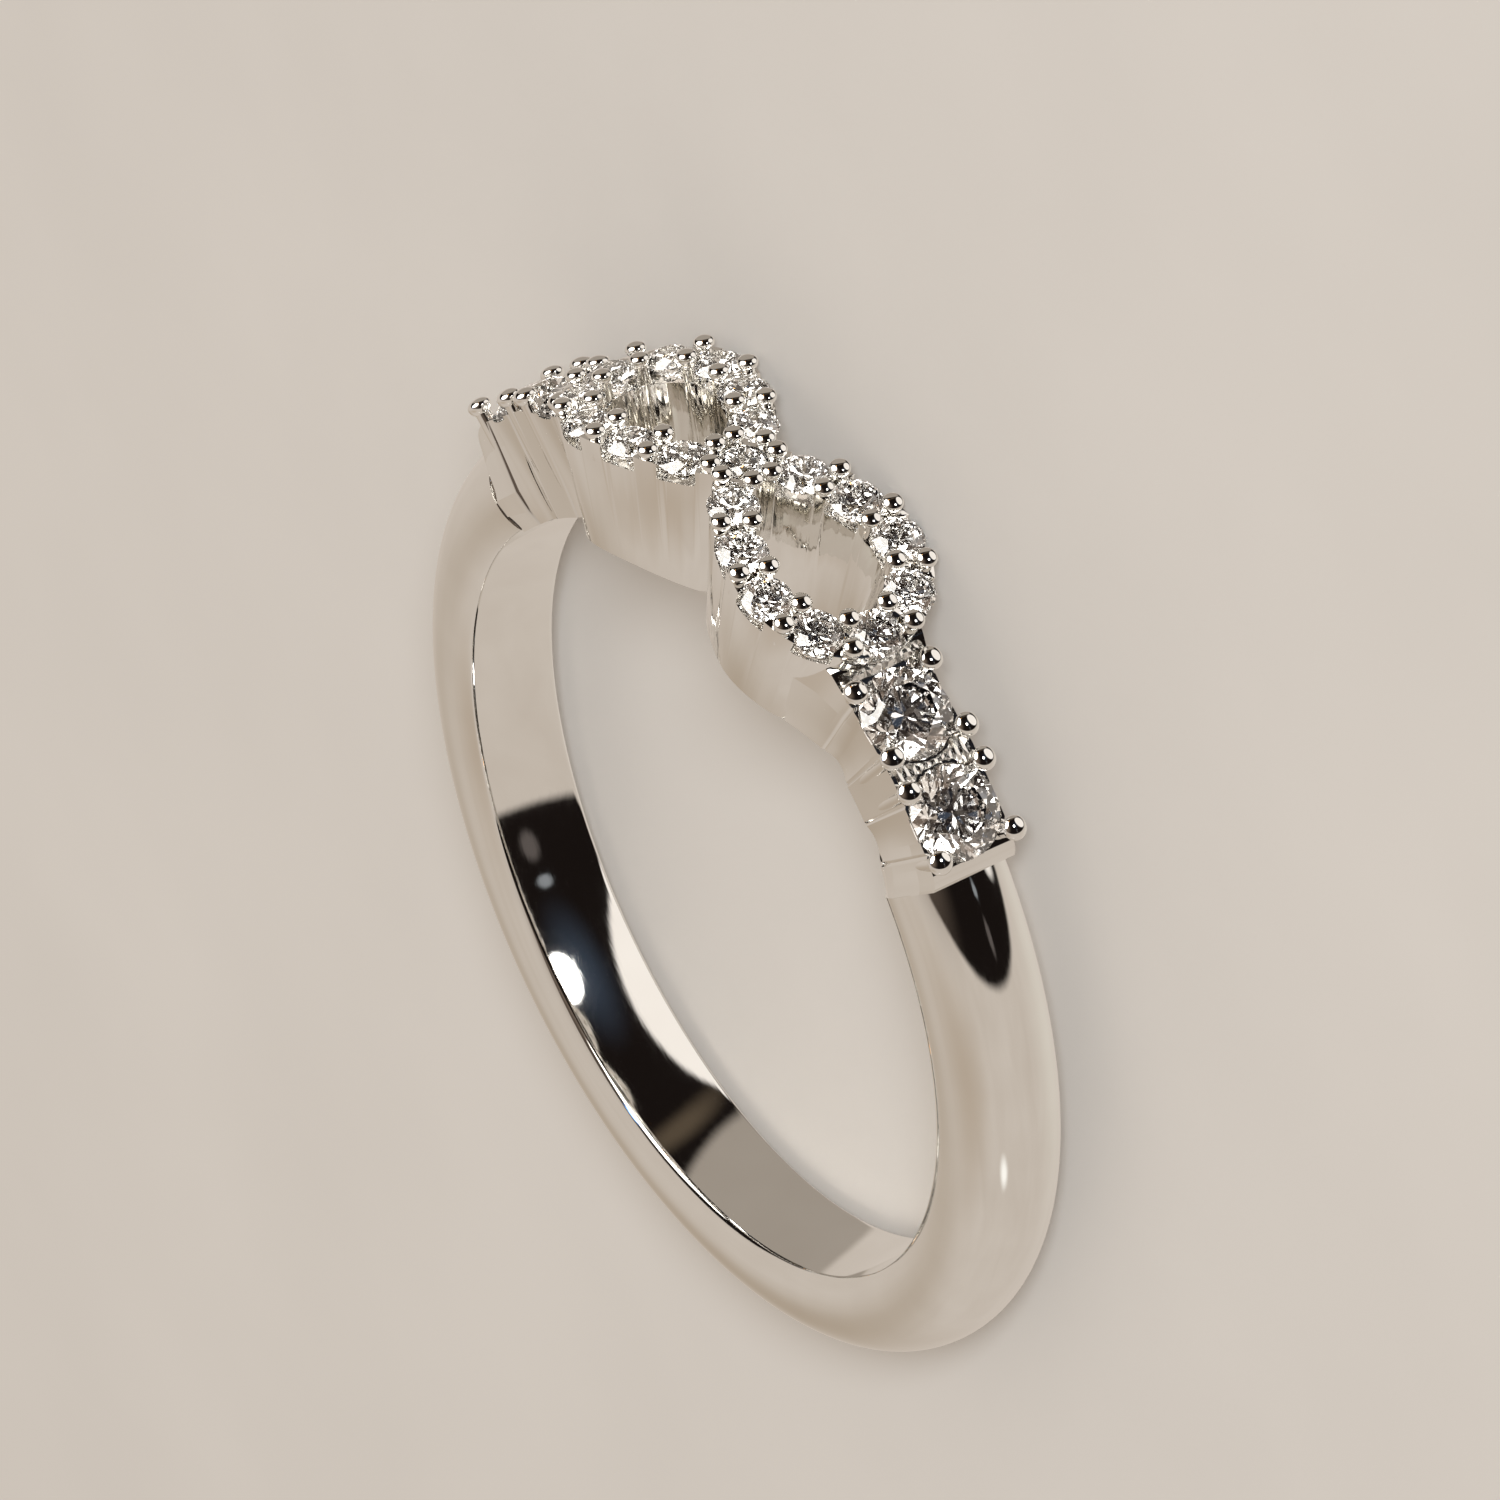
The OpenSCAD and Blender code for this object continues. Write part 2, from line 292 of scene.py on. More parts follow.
# %% [markdown]
# ## Rhodium-plated white gold
# The metal is 14 karat white gold, cast, polished on felt and plated with
# rhodium, which makes it almost as white as silver. It is a mirror, so what it
# shows is the room. Two small things keep it from looking like chrome: hand
# polishing leaves the surface faintly wavy over about a millimetre, and the
# wheel leaves hairlines a few hundredths of a millimetre apart, drawn a little
# coarser here so that they show. The beads are burnished with a hollow punch
# and are smoother still, and the bars that a graver cuts keep its fine marks.

# %% The polished metal
wave_mm = 1.1
hair_stretch = 7.0


def polished_metal(name, hairline_mm, hairline_depth, wave_depth, low_rough, high_rough):
    material, tree = new_material(name)
    place = add(tree, "ShaderNodeTexCoord").outputs["Object"]
    wave = add(tree, "ShaderNodeTexNoise", Vector=place, Scale=1 / (wave_mm * MM), Detail=1.5,
               Roughness=0.4)
    stretch = add(tree, "ShaderNodeMapping", Vector=place, Scale=(1.0, 1.0, hair_stretch))
    hair = add(tree, "ShaderNodeTexNoise", Vector=stretch.outputs[0],
               Scale=1 / (hairline_mm * MM) / hair_stretch, Detail=3.0, Roughness=0.6)
    rough = add(tree, "ShaderNodeMapRange", Value=hair.outputs["Fac"], From_Min=0.3, From_Max=0.75,
                To_Min=low_rough, To_Max=high_rough)
    soft = add(tree, "ShaderNodeBump", Height=wave.outputs["Fac"], Strength=1.0,
               Distance=wave_depth * MM)
    fine = add(tree, "ShaderNodeBump", Height=hair.outputs["Fac"], Strength=1.0,
               Distance=hairline_depth * MM, Normal=soft.outputs[0])
    tone = add(tree, "ShaderNodeMix", {"data_type": "RGBA"}, Factor=wave.outputs["Fac"],
               _6=linear("#E9E7E3"), _7=linear("#F0EFEC"))
    shader = add(tree, "ShaderNodeBsdfPrincipled", Base_Color=tone.outputs[2], Metallic=1.0,
                 Roughness=rough.outputs[0], Normal=fine.outputs[0])
    finish_material(tree, shader)
    return material


rhodium = polished_metal("rhodium_plated_white_gold", hairline_mm=0.06, hairline_depth=0.0004,
                         wave_depth=0.002, low_rough=0.03, high_rough=0.08)
bead_metal = polished_metal("burnished_rhodium_beads", hairline_mm=0.05, hairline_depth=0.0001,
                            wave_depth=0.0005, low_rough=0.02, high_rough=0.04)
cut_metal = polished_metal("bright_cut_rhodium", hairline_mm=0.04, hairline_depth=0.002,
                           wave_depth=0.002, low_rough=0.16, high_rough=0.30)
print("finishes:", rhodium.name, bead_metal.name, cut_metal.name)

# %% [markdown]
# ## Diamond
# A diamond bends light more than any other clear stone, so its index of 2.417
# is set on the shader itself. Its facets stay flat: the sparkle comes from
# rays that bounce inside the real cut, and nothing is painted on it.

# %% The stones
def diamond_material():
    material, tree = new_material("brilliant_cut_diamond")
    shader = add(tree, "ShaderNodeBsdfPrincipled", Base_Color=linear("#FFFFFF"), Roughness=0.0,
                 IOR=2.417, Transmission_Weight=1.0)
    finish_material(tree, shader)
    return material


diamond = diamond_material()
for node, item in nodes.items():
    if "stone" in node:
        item.data.materials.clear()
        item.data.materials.append(diamond)
print("stones finished:", sum("stone" in n for n in nodes))

# %% [markdown]
# ## The band
# The band is wire with a round back and a slightly crowned inside, so that it
# slides over the knuckle. Its section is drawn with two spins of a single
# vertex, one for each arc, and the loop is then spun about the finger. A spin
# gives an even mesh all the way round, which a mirror finish needs.

# %% Spin the band
band_steps = 260
inner_crown_r = 6.5
band_corner = 0.02
band_lap = 0.002


def arc(bm, start, centre, angle, steps):
    """A chain of edges from start, turned about centre in the plane of the section"""
    vert = bm.verts.new(start)
    made = bmesh.ops.spin(bm, geom=[vert], cent=centre, axis=(1, 0, 0), angle=angle, steps=steps)
    return [vert], made["geom_last"]


def band_section(bm):
    """The section at the head's middle line, as a closed loop in the plane X = 0"""
    crown_centre = Vector((0, bore_r + inner_crown_r, 0))
    outer_centre = Vector((0, section_r, 0))
    gap = crown_centre.y - outer_centre.y
    outer_r = band_w / 2
    along = (inner_crown_r ** 2 - outer_r ** 2 + gap ** 2) / (2 * gap)
    half = math.sqrt(inner_crown_r ** 2 - along ** 2)
    corner = Vector((0, crown_centre.y - along, half))
    inner_turn = 2 * math.asin(half / inner_crown_r)
    outer_half = math.atan2(half, corner.y - outer_centre.y)
    arc(bm, corner, outer_centre, -2 * outer_half, 56)
    arc(bm, Vector((0, corner.y, -half)), crown_centre, -inner_turn, 24)
    bmesh.ops.remove_doubles(bm, verts=bm.verts, dist=1e-4)
    corners = [v for v in bm.verts if abs(abs(v.co.z) - half) < 1e-3 and abs(v.co.y - corner.y) < 1e-3]
    bmesh.ops.bevel(bm, geom=corners, offset=band_corner, segments=2, profile=0.5, affect="VERTICES",
                    material=-1)


def make_band():
    bm = bmesh.new()
    band_section(bm)
    start = end_angle - band_lap
    bmesh.ops.rotate(bm, cent=(0, 0, 0), matrix=Matrix.Rotation(-start, 3, "Z"), verts=bm.verts)
    geom = bm.verts[:] + bm.edges[:]
    bmesh.ops.spin(bm, geom=geom, cent=(0, 0, 0), axis=(0, 0, 1), angle=-(2 * math.pi - 2 * start),
                   steps=band_steps)
    bmesh.ops.holes_fill(bm, edges=bm.edges, sides=0)
    return mesh_of(bm, "band")


band = keep(make_band(), rhodium)

# %% [markdown]
# ## The strand
# The figure of eight is one strand that passes through the crossing stone and
# loops round to a tip on each side. It is drawn flat, as on tracing paper,
# with the way along the band as X and the way along the finger as Y. A smooth
# line runs through the stones' places, and its two edges lie half a strand to
# each side of it.

# %% Draw the strand's line through the stones
strand_w = 0.96
strand_rise = 0.08
flare_rise = 0.5
lean_in = 0.06
finger_gap = 0.01
off_middle = 0.01
samples = 14


def loop_stops(side):
    """The stones of one loop as flat points, with one more stop before and after"""
    stones = small[1:10] if side > 0 else small[10:19]
    flat = [Vector((abs(s.angle) * small_r, s.z)) for s in stones]
    origin = Vector((0, 0))
    return [-flat[0], origin] + flat + [origin, -flat[-1]]


def on_line(stops, step, t):
    """A point of the smooth line and its direction, t of the way along a step"""
    a, b, c, d = stops[step:step + 4]
    point = (2 * b + (c - a) * t + (2 * a - 5 * b + 4 * c - d) * t * t
             + (3 * b - a - 3 * c + d) * t ** 3) / 2
    slope = ((c - a) + 2 * (2 * a - 5 * b + 4 * c - d) * t + 3 * (3 * b - a - 3 * c + d) * t * t) / 2
    return point, slope.normalized()


def edge_line(stops, off):
    line = []
    for step in range(len(stops) - 3):
        for k in range(samples + (step == len(stops) - 4)):
            point, way = on_line(stops, step, k / samples)
            line.append(point + off * Vector((-way.y, way.x)))
    return line


def rolled(point, r, side):
    """A flat point on the finger side or outer side, brought round the finger"""
    return polar(side * point[0] / small_r, r, point[1])


def loop_lines(side):
    """The strand's two edges as flat lines: the outside of a loop and the rim of its hole"""
    stops = loop_stops(side)
    outer = edge_line(stops, strand_w / 2)
    inner = edge_line(stops, -strand_w / 2)
    middle = len(inner) / 2
    near_tip = stops[6].x - strand_w
    # The inner edge crosses itself near the crossing stone, and its loose ends there are dropped
    inner = [p for i, p in enumerate(inner) if (p.y > off_middle) == (i < middle) or p.x > near_tip]
    return outer, inner


print("corners on a loop's outside and its hole:", [len(line) for line in loop_lines(1)])

# %% [markdown]
# The two edges of a loop are filled as one face, and the face is extruded and
# rolled round the finger. Its walls then point at the finger's axis, and the
# whole loop is a little narrower at the finger than at its stones. The
# underside rises where a loop reaches past the band, so that its edge doesn't
# dig into the finger.

# %% Fill, extrude and roll each loop
flare = flare_rise / (max(p.y for p in loop_lines(1)[0]) - flat_half)


def rolled_sheet(name, lines, side, under, over):
    """The face between flat lines, made as thick as the two radii and rolled round the finger"""
    bm = bmesh.new()
    edges = []
    for line in lines:
        verts = [bm.verts.new((p.x, p.y, 0)) for p in line]
        edges += [bm.edges.new((verts[i - 1], verts[i])) for i in range(len(verts))]
    bmesh.ops.triangle_fill(bm, edges=edges, use_beauty=True, use_dissolve=False)
    made = bmesh.ops.extrude_face_region(bm, geom=bm.faces[:])
    tops = {v for v in made["geom"] if isinstance(v, bmesh.types.BMVert)}
    for vert in bm.verts:
        r = over if vert in tops else under(vert.co.y)
        vert.co.y *= 1 - lean_in * (small_r - r) / (small_r - bore_r)
        vert.co = rolled(vert.co, r, side)
    return mesh_of(bm, name)


def make_loop(name, side):
    outer, inner = loop_lines(side)

    def under(y):
        return bore_r + finger_gap + flare * max(0, abs(y) - flat_half)

    return rolled_sheet(name, (outer, inner), side, under, small_r + strand_rise)


print("the underside rises by", round(flare, 3), "mm for each mm past the band")

# %% [markdown]
# ## The shoulders
# Each shoulder is one block that carries two stones. A short profile is spun
# through the shoulder's angle, and each ring of it is then widened or raised.
# Beside a stone the wall is hollowed by a shallow scallop, and between the
# scallops it stands straight, which leaves a fine crease on each side of the
# column under a pair of prongs. Where it meets the loop the block starts wide
# and narrows to its own width, and at its other end it widens to the band.
# Beyond the last stone the top rolls down to the band, so it mirrors the pale
# stone and not the dark studio above.
#
# Each level of the wall has its half width at the start and at the end, the
# depth and half length of its scallops, and what it adds beside the loop.
# Half lengths and grooves are angles in radians.

# %% Widths of the shoulder, along its angle
Level = namedtuple("Level", "name start end scoop half blend")
tip_angle = small[5].angle
block_lap = 0.049
block_steps = 250
flare_power = 6
blend_power = 1.5
blend_reach = 0.175
groove_depth = 0.04
groove_half = 0.0055
groove_off = 0.05
hip_rise = 0.34
waist_rise = 0.6
brow_share = 0.62
LEVELS = [
    Level("low", 0.78, 0.965, 0.085, 0.050, 0.80),
    Level("hip", 0.795, 1.175, 0.085, 0.050, 0.80),
    Level("waist", 0.83, 1.262, 0.085, 0.048, 0.80),
    Level("brow", 0.93, 1.08, 0.040, 0.045, 0.75),
    Level("top", 0.985, 0.99, 0.000, 0.043, 0.30)]
GROOVES = [stone + off for stone in (first, last) for off in (-groove_off, groove_off)]
SPAN = (tip_angle - block_lap, end_angle)
RISES = [
    (SPAN[0], 0.28), (tip_angle + 0.02, 0.26), (first - 0.098, 0.16),
    (first - 0.05, 0.02), (first, 0.01), (first + 0.05, 0.02),
    ((first + last) / 2, 0.08), (last - 0.05, 0.02), (last, 0.01), (last + 0.06, 0.015),
    (last + 0.088, -0.012), (last + 0.096, -0.037), (last + 0.104, -0.072), (last + 0.111, -0.12),
    (last + 0.117, -0.175), (SPAN[1], -0.25)]


def between(table, angle):
    """A value read from (angle, value) pairs, in straight steps"""
    after = next((i for i, pair in enumerate(table) if pair[0] >= angle), len(table) - 1)
    after = max(after, 1)
    (a, low), (b, high) = table[after - 1], table[after]
    return low + (high - low) * min(max((angle - a) / (b - a), 0), 1)


def half_width(level, angle):
    """The wall's distance from the middle plane: a straight run, less scallops and creases"""
    whole = (angle - SPAN[0]) / (SPAN[1] - SPAN[0])
    width = level.start + (level.end - level.start) * whole ** flare_power
    width += level.blend * max(0, 1 - (angle - SPAN[0]) / blend_reach) ** blend_power
    for middle in (first, last):
        away = (angle - middle) / level.half
        width -= level.scoop * max(0, 1 - away * away)
    for groove in GROOVES:
        width -= groove_depth * max(0, 1 - abs(angle - groove) / groove_half)
    return width


def make_block(name, side):
    bm = bmesh.new()
    loop = [(level, s) for s, levels in ((1, LEVELS), (-1, LEVELS[::-1])) for level in levels]
    verts = [bm.verts.new((0, 1 + i, s)) for i, (level, s) in enumerate(loop)]
    edges = [bm.edges.new((verts[i], verts[(i + 1) % len(verts)])) for i in range(len(verts))]
    bmesh.ops.spin(bm, geom=verts + edges, cent=(0, 0, 0), axis=(0, 0, 1), angle=SPAN[0] - SPAN[1],
                   steps=block_steps)
    for vert in bm.verts:
        angle = SPAN[0] + math.atan2(vert.co.x, vert.co.y)
        level, s = loop[round(vert.co.xy.length) - 1]
        top = large_r + between(RISES, angle)
        width = half_width(level, angle)
        foot = bore_r + finger_gap + flare * max(0, width - flat_half)
        r = {"low": foot, "hip": foot + hip_rise, "waist": max(section_r, foot + waist_rise),
             "brow": section_r + brow_share * (top - section_r), "top": top}[level.name]
        vert.co = (side * r * math.sin(angle), r * math.cos(angle), s * width)
    bmesh.ops.holes_fill(bm, edges=bm.edges, sides=0)
    return mesh_of(bm, name)


print("shoulders run from", [round(math.degrees(a), 2) for a in SPAN], "degrees")

# %% [markdown]
# ### Seats
# A seat has the stone's own outline, a hair wider, and a hole drilled through
# to the finger so that light and soap can pass. The shares are those of a
# brilliant, measured against its diameter. The shoulder is first cut back to
# the rim of the loop's hole, and its seats are cut after that.

# %% The bur that cuts a seat, and the two shoulders
seat_gap = 0.02
girdle_share = 0.015
pavilion_share = 0.43
crown_in_share = 0.22
crown_up_share = 0.16
large_drill = 0.9
small_drill = 0.4
large_bur_depth = 3.4
small_bur_depth = 4.2
CREASE = math.radians(9)


def seat(d, drill_d, depth):
    r = d / 2 + seat_gap
    girdle = girdle_share * d + seat_gap
    crown = girdle + crown_up_share * d
    cone = 2 * pavilion_share * (r - drill_d / 2)
    return turned([
        (0, -depth), (drill_d / 2, -depth), (drill_d / 2, -girdle - cone), (r, -girdle),
        (r, girdle), (r - crown_in_share * d, crown), (0, crown)], 48)


def below_bore(y):
    """The hole's cutter ends under the finger's side of the metal, wherever it is"""
    return bore_r - 0.5


def make_shoulder(name, side):
    block = make_block(name, side)
    burs = [(seat(large_d, large_drill, large_bur_depth), at_stone(s.angle, s.z, s.r))
            for s in large if s.angle * side > 0]
    burs.append((seat(small_d, small_drill, small_bur_depth), at_stone(side * tip_angle, 0, small_r)))
    carved(block, rolled_sheet("hole", loop_lines(side)[1:], side, below_bore, small_r + 1))
    return carved(block, gathered("burs", burs))


shoulder_right = keep(make_shoulder("shoulder_right", 1), rhodium, sharp=CREASE)
shoulder_left = keep(make_shoulder("shoulder_left", -1), rhodium, sharp=CREASE)

# %% [markdown]
# ### Prongs
# Four prongs hold each large stone. Each starts as a rib at the finger, stands
# a little proud of the block and leans out with it, and ends in a round tip
# that is pushed over the girdle. A rib and its tip are turned in one piece on
# the lathe and set on the line from its foot to its tip. A tip is lower than
# a ball: its crown and its underside are shares of its radius.

# %% Turn and set the prongs
prong_d = 0.44
prong_rise = 0.3
prong_reach = large_d / 2 + prong_d / 2 - 0.035
prong_turn = math.radians(50)
tip_r = 0.26
rib_r = 0.2
tip_post_r = 0.17
crown_share = 0.62
under_share = 0.85
rib_share = 0.5
foot_depth = 0.2
foot_gap = 0.02
foot_wide = 0.50
last_foot_wide = 0.62
foot_inward = 0.93
last_foot_inward = 0.97


def button(r, top, post_r):
    """The outline of a pushed-down ball on its post: its crown is at the height top"""
    crown = crown_share * r
    under = under_share * r
    middle = top - crown
    outline = [(post_r, middle - under * 0.98)]
    outline += [(r * math.sin(a), middle - under * math.cos(a))
                for a in [math.radians(42 + 48 * k / 6) for k in range(7)]]
    outline += [(r * math.sin(a), middle + crown * math.cos(a))
                for a in [math.radians(90 - 90 * k / 12) for k in range(1, 13)]]
    return outline


def make_prong(foot, tip):
    line = tip - foot
    length = line.length
    outline = [(0, 0), (rib_r, 0), (rib_r, rib_share * length)]
    outline += button(tip_r, length + prong_d / 2, tip_post_r)
    bm = turned(outline, 36)
    place = Matrix.Translation(foot) @ line.to_track_quat("Z", "Y").to_matrix().to_4x4()
    bmesh.ops.transform(bm, matrix=place, verts=bm.verts)
    out = Vector((foot.x, foot.y, 0)).normalized()
    bmesh.ops.bisect_plane(bm, geom=bm.verts[:] + bm.edges[:] + bm.faces[:],
                           plane_co=out * (bore_r + foot_gap), plane_no=out, clear_inner=True)
    bmesh.ops.holes_fill(bm, edges=bm.edges, sides=0)
    return bm


def make_prongs():
    parts = []
    for stone in large:
        side = math.copysign(1, stone.angle)
        for along in (1, -1):
            for across in (1, -1):
                reach = along * prong_reach * math.cos(prong_turn)
                place = at_stone(stone.angle, 0, large_r)
                tip = place @ Vector((reach, -across * prong_reach * math.sin(prong_turn), prong_rise))
                inward = foot_inward if stone is large[0] or stone is large[2] else last_foot_inward
                foot_angle = stone.angle + reach / large_r * inward
                wide = foot_wide if abs(tip.xy.angle_signed(Vector((0, 1)))) < last else last_foot_wide
                foot = polar(foot_angle, bore_r - foot_depth, across * wide)
                parts.append((make_prong(foot, tip), Matrix.Identity(4)))
    return gathered("shoulder_prongs", parts)


prongs = keep(make_prongs(), bead_metal)

# %% [markdown]
# ### Bright-cut bars
# The strips of metal between two stones are finished with a graver: short
# cuts from both sides meet on a ridge, and each leaves a small bright facet.
# A bar is one closed profile, extruded from cut to cut across the shoulder,
# with every second profile sunk by the depth of a cut.

# %% Cut the bars
Bar = namedtuple("Bar", "angle rise deep half spread_at")
bar_cuts = 20
cut_depth = 0.03
cheek_share = 0.4
ridge_share = 0.3
ridge_waver = 0.25
waver_turn = 2.4
most_spread = 0.36
stone_gap = 0.02
plain_spread = 0.13


def bar_profile(side, bar, i):
    """The six corners of a bar's profile at its cut i"""
    r = large_r + bar.rise
    z = bar.half * (2 * i / bar_cuts - 1)
    cut = cut_depth * (i % 2)
    cheek = -cheek_share * bar.deep - cut
    spread = bar.spread_at(z)
    lean = ridge_waver * math.sin(waver_turn * i)
    flat = [(-spread, -bar.deep), (-spread, cheek), (spread * (lean - ridge_share), -cut),
            (spread * (lean + ridge_share), -cut), (spread, cheek), (spread, -bar.deep)]
    return [polar(side * (bar.angle + x / r), r + h, z) for x, h in flat]


def make_bar(side, bar):
    bm = bmesh.new()
    corners = bar_profile(side, bar, 0)
    verts = [bm.verts.new(p) for p in corners]
    edges = [bm.edges.new((verts[k - 1], verts[k])) for k in range(len(verts))]
    for i in range(1, bar_cuts + 1):
        made = bmesh.ops.extrude_edge_only(bm, edges=edges)["geom"]
        edges = [e for e in made if isinstance(e, bmesh.types.BMEdge)]
        moved = bar_profile(side, bar, i)
        for vert in [v for v in made if isinstance(v, bmesh.types.BMVert)]:
            gaps = [(vert.co - corner).length for corner in corners]
            vert.co = moved[gaps.index(min(gaps))]
        corners = moved
    bmesh.ops.holes_fill(bm, edges=bm.edges, sides=0)
    bmesh.ops.triangulate(bm, faces=bm.faces)
    return bm


def hugging(z):
    """Half the gap between the outlines of the two large stones, at z"""
    pair = (last - first) / 2 * large_r
    return min(most_spread, pair - stone_gap - math.sqrt((large_d / 2) ** 2 - z * z))


def straight(z):
    return plain_spread


BARS = [
    Bar((first + last) / 2, 0.17, 0.36, 0.86, hugging),
    Bar(first - 0.099, 0.38, 0.22, 0.92, straight)]
bar_parts = [(make_bar(side, bar), Matrix()) for side in (1, -1) for bar in BARS]
bars = keep(gathered("bright_cut_bars", bar_parts), cut_metal, sharp=math.radians(4))

# %% [markdown]
# ### Saddles
# Between the stones the strand is cut away, so that light comes in from the
# side and a pair of posts is left for the beads. The saddle is a cross: one
# bar of it runs across the strand under the stone, the other is the valley
# between the two posts.

# %% Cut the saddles and the seats
saddle_depth = 0.31
post_w = 0.4
bead_d = 0.43
bead_offset = 0.32
pitch = Vector((small[1].angle * small_r, small[1].z)).length
valley_w = 2 * (bead_offset - bead_d / 2)
valley_depth = 0.9 * saddle_depth
saddle_round = 0.07
valley_round = 0.03


def box_cutter(length, width, depth, soft):
    """A bar with a flat, softly rounded foot at Z = -depth"""
    bm = bmesh.new()
    bmesh.ops.create_cube(bm, size=1.0)
    bmesh.ops.scale(bm, vec=(length, width, depth + 1), verts=bm.verts)
    bmesh.ops.translate(bm, vec=(0, 0, (1 - depth) / 2), verts=bm.verts)
    foot = [e for e in bm.edges if all(v.co.z < 0 for v in e.verts)]
    bmesh.ops.bevel(bm, geom=foot, offset=soft, segments=3, profile=0.5, affect="EDGES", material=-1)
    return bm


def headings():
    """Each small stone with the strand's heading at it, along the band"""
    for side, stones in ((1, small[1:10]), (-1, small[10:19])):
        stops = loop_stops(side)
        for i, stone in enumerate(stones):
            way = on_line(stops, i + 1, 0)[1]
            yield stone, side * math.atan2(way.y, way.x)


def make_strand():
    strand = carved(make_loop("strand", 1), make_loop("other_loop", -1), "UNION")
    cuts = []
    for stone, turn in headings():
        place = at_stone(stone.angle, stone.z, small_r, turn)
        cuts.append((box_cutter(pitch - post_w, 2 * strand_w, saddle_depth, saddle_round), place))
        cuts.append((box_cutter(pitch, valley_w, valley_depth, valley_round), place))
    carved(strand, gathered("saddles", cuts))
    burs = [(seat(small_d, small_drill, small_bur_depth), at_stone(s.angle, s.z, s.r)) for s in small]
    return carved(strand, gathered("burs", burs))


strand = keep(make_strand(), rhodium, bevel=0.015)

# %% [markdown]
# ### Beads
# Every post ends in a bead, raised with a cup bur and pushed down a little, so
# that it is lower than a ball and wider than its post. The beads stand midway
# between neighbouring stones, one on each side of the strand, and lap over
# both girdles.

# %% Raise the beads
bead_rise = 0.18
bead_r = 0.225
bead_post_r = 0.15
bead_foot = 0.4


def make_beads():
    parts = []
    for side in (1, -1):
        stops = loop_stops(side)
        for step in range(1, 11):
            for off in (bead_offset, -bead_offset):
                point, way = on_line(stops, step - 1, 0.5)
                point = point + off * Vector((-way.y, way.x))
                outline = [(0, -bead_foot), (bead_post_r, -bead_foot)]
                outline += button(bead_r, bead_rise + bead_d / 2, bead_post_r)
                bm = turned(outline, 30)
                parts.append((bm, at_stone(side * point.x / small_r, point.y, small_r)))
    return gathered("strand_beads", parts)


beads = keep(make_beads(), bead_metal)

# %% [markdown]
# ## The table
# Honed pale stone has no shine and faint clouds a centimetre or so wide. The
# table is only seen and shaded, and the mirror shows the room of the next
# step instead.

# %% The table
floor_z = cad_low.z
table_size = 3.0
cloud_mm = 9


def make_floor():
    bm = bmesh.new()
    bmesh.ops.create_grid(bm, x_segments=1, y_segments=1, size=table_size / 2)
    bmesh.ops.translate(bm, vec=(0, 0, floor_z), verts=bm.verts)
    mesh = bpy.data.meshes.new("table_top")
    bm.to_mesh(mesh)
    bm.free()
    item = bpy.data.objects.new("table_top", mesh)
    bpy.context.scene.collection.objects.link(item)
    material, tree = new_material("pale_honed_stone")
    place = add(tree, "ShaderNodeTexCoord").outputs["Object"]
    cloud = add(tree, "ShaderNodeTexNoise", Vector=place, Scale=1 / (cloud_mm * MM), Detail=3.0,
                Roughness=0.5)
    tone = add(tree, "ShaderNodeMix", {"data_type": "RGBA"}, Factor=cloud.outputs["Fac"],
               _6=linear("#CBC4BD"), _7=linear("#D3CCC5"))
    shader = add(tree, "ShaderNodeBsdfPrincipled", Base_Color=tone.outputs[2], Roughness=0.9,
                 Specular_IOR_Level=0.0)
    finish_material(tree, shader)
    item.data.materials.append(material)
    item.visible_glossy = False
    item.visible_transmission = False
    item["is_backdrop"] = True
    return item


table_top = make_floor()
print("the table lies at", round(floor_z / MM, 3), "mm")

# %% [markdown]
# ## The room
# Polished metal shows its surroundings, so the room matters as much as the
# metal. It is pale stone below the ring's back and a dark studio above its
# head. Each lamp, and each soft change of tone, is a patch of the room: a
# direction, its half widths in degrees, how much of it is a soft edge, its
# colour and its gain. The camera and the table see a plain pale room instead.
# A ray that has passed through a stone finds the room brighter by a share,
# because the stones gather light from more lamps than the metal shows.

# %% The room that the mirror shows
through_gain = 0.7
Patch = namedtuple("Patch", "azimuth elevation wide tall soft colour gain")
PATCHES = [
    Patch(178, -62, 62, 34, 1.0, "#DFD7CC", 1.0),
    Patch(-148, 8, 30, 50, 1.0, "#B6A796", 1.0),
    Patch(160, 58, 60, 26, 1.0, "#C0B1A1", 1.0),
    Patch(134, 18, 6, 7, 0.8, "#FFFCF6", 1.15),
    Patch(12, 56, 62, 52, 0.9, "#7A6B5F", 1.0),
    Patch(36, -17, 26, 14, 1.0, "#39424F", 1.0),
    Patch(-17, -18, 6, 34, 0.9, "#5A4E40", 1.0),
    Patch(-62, -22, 36, 38, 0.12, "#A89E93", 1.0),
    Patch(64, -17, 2.4, 4, 0.5, "#8E9296", 1.0),
    Patch(75, -16, 6, 4.5, 0.6, "#615A57", 1.0),
    Patch(18, -57, 30, 30, 0.08, "#F3ECE5", 1.2),
    Patch(37, -9, 8, 6.5, 0.3, "#FFFDFA", 12.0),
    Patch(-26, 42, 29, 29, 0.10, "#FFFBF4", 5.0),
    Patch(-20, 8, 2.4, 2.4, 0.8, "#FFB765", 9.0),
    Patch(-60, 68, 2.4, 2.4, 0.8, "#7DB2FF", 9.0)]


def axes(azimuth, elevation):
    """Axes of a place on the room's wall: level, upright, and toward it, in the tipped frame"""
    a, e = math.radians(azimuth), math.radians(elevation)
    level = Vector((-math.cos(a), math.sin(a), 0))
    toward = Vector((math.sin(a) * math.cos(e), math.cos(a) * math.cos(e), math.sin(e)))
    upright = toward.cross(level)
    return LAID.to_3x3() @ Matrix((level, upright, toward)).transposed()


